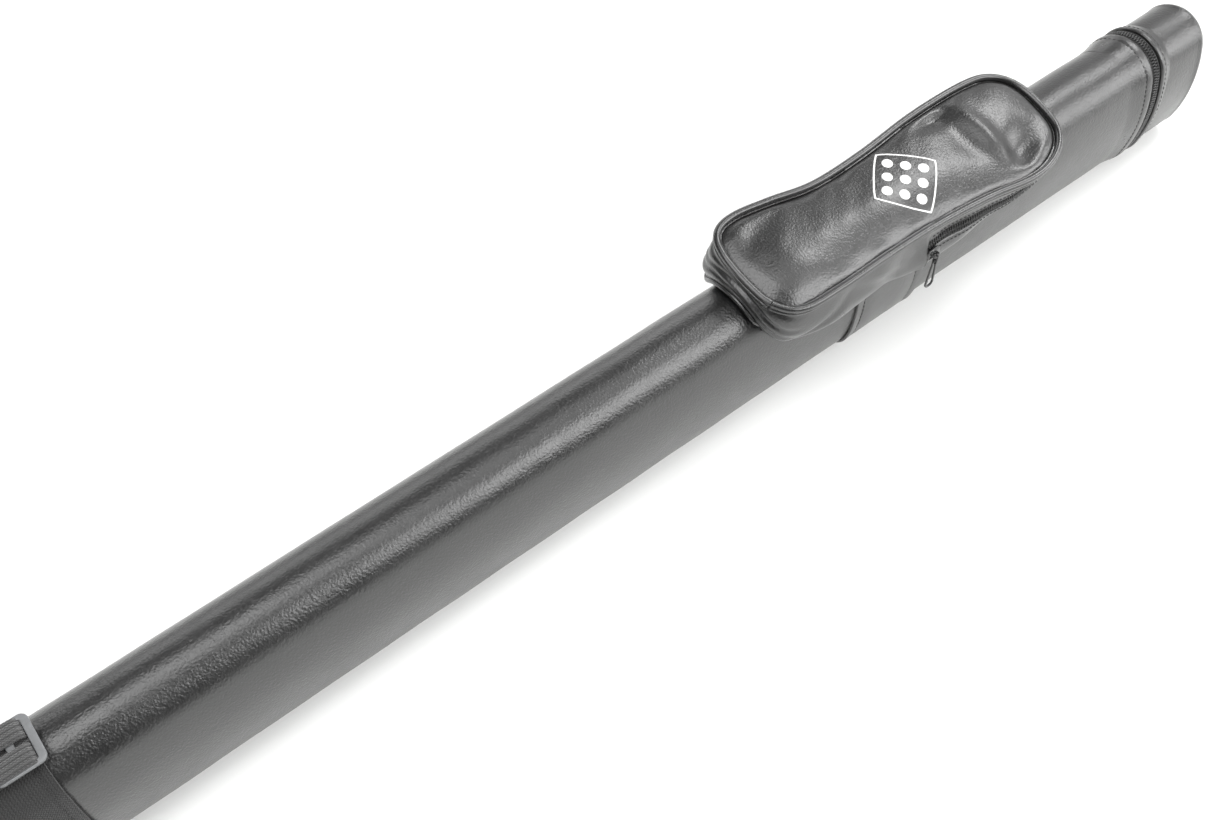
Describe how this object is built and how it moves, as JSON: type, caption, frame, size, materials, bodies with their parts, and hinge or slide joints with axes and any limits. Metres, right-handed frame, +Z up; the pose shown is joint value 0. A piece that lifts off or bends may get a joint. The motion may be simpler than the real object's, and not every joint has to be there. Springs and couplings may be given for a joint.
{
  "type": "cue case",
  "caption": "Oval hard tube case for a two-piece cue, covered in black leatherette, with a zipped hinged cap, a zipped pocket, a webbing strap and an adjuster.",
  "frame": {"origin": "centre of the underside of the belt that holds the pocket, on the plane the case stands on", "axes": "+X along the case from the closed end to the zipped cap, +Z up through the pocket, -Y the side with the pocket's slider"},
  "size_m": [0.815, 0.0736, 0.1061],
  "materials": {
    "leatherette": "fine pebbled polyurethane leather, semi-gloss",
    "piping": "rolled polyurethane leather, semi-gloss",
    "board": "extruded tube wall",
    "plug_wood": "sawn board",
    "lining": "brushed pile on foam",
    "moulded": "satin edging",
    "zip_tape": "woven tape",
    "zip_coil": "nylon coil",
    "slider_black": "black enamelled die-casting",
    "zip_metal": "dark nickel plate",
    "print": "screen print",
    "nylon": "plain woven nylon",
    "webbing": "ribbed webbing",
    "buckle": "grey satin casting"
  },
  "bodies": {
    "case": {"tube_shell": "board", "tube_cover": "leatherette", "closed_end_plug": "plug_wood", "closed_end_panel": "leatherette", "closed_end_binding": "leatherette", "closed_end_pad": "lining", "channel_insert": "lining", "mouth_rim": "moulded", "zip_tape_body": "zip_tape", "zip_coil_body": "zip_coil", "mouth_hem": "leatherette", "zip_stop_body": "zip_metal", "hinge_strip_body": "leatherette", "pocket_belt": "leatherette", "pocket_back": "leatherette", "pocket_gusset": "leatherette", "pocket_panel": "leatherette", "pocket_piping": "piping", "pocket_base_piping": "piping", "pocket_zip_tape": "zip_tape", "pocket_zip_coil": "zip_coil", "zip_garage": "leatherette", "emblem": "print", "nylon_band": "nylon", "adjuster_webbing": "webbing", "strap_wrap": "webbing", "shoulder_strap": "webbing"},
    "cap": {"cap_shell": "board", "cap_cover": "leatherette", "cap_end_panel": "leatherette", "cap_liner": "lining", "cap_pad": "lining", "zip_tape_cap": "zip_tape", "zip_coil_cap": "zip_coil", "cap_hem": "leatherette", "zip_stop_cap": "zip_metal", "hinge_strip_cap": "leatherette"},
    "cap_slider": {"cap_slider": "slider_black"},
    "cap_pull": {"cap_pull": "zip_metal"},
    "flap": {"pocket_flap": "leatherette", "flap_gusset": "leatherette", "flap_piping": "piping", "flap_zip_tape": "zip_tape", "flap_zip_coil": "zip_coil"},
    "pocket_slider": {"pocket_slider": "slider_black"},
    "pull_ring": {"pull_ring": "zip_metal"},
    "pull_tab": {"pull_tab": "zip_metal"},
    "strap_slider": {"strap_slider": "buckle"}
  },
  "joints": [
    {"name": "cap_hinge", "type": "hinge", "parent": "case", "child": "cap", "pos_m": [0.214, 0, 0.00125], "axis": [0, 1, 0], "range_deg": [0, 100]},
    {"name": "cap_slider_travel", "type": "hinge", "parent": "case", "child": "cap_slider", "pos_m": [0.214, -0.06684, 0.04032], "axis": [1, 0, 0], "range_deg": [0, 25]},
    {"name": "cap_pull_swing", "type": "hinge", "parent": "cap_slider", "child": "cap_pull", "pos_m": [0.214, 0.02663, 0.01648], "axis": [1, 0, 0], "range_deg": [0, 120]},
    {"name": "pocket_flap_hinge", "type": "hinge", "parent": "case", "child": "flap", "pos_m": [0.037, -0.00815, 0.09891], "axis": [0, -0.9781, -0.2079], "range_deg": [0, 60]},
    {"name": "pocket_slider_travel", "type": "slide", "parent": "case", "child": "pocket_slider", "axis": [1, 0, 0], "range_m": [0, 0.07]},
    {"name": "pull_ring_swing", "type": "hinge", "parent": "pocket_slider", "child": "pull_ring", "pos_m": [0.014, -0.03845, 0.06977], "axis": [-1, 0, 0], "range_deg": [0, 110]},
    {"name": "pull_tab_swing", "type": "hinge", "parent": "pull_ring", "child": "pull_tab", "pos_m": [0.014, -0.03845, 0.06477], "axis": [-1, 0, 0], "range_deg": [0, 80]},
    {"name": "strap_slider_travel", "type": "slide", "parent": "case", "child": "strap_slider", "axis": [1, 0, 0], "range_m": [-0.01, 0]}
  ]
}
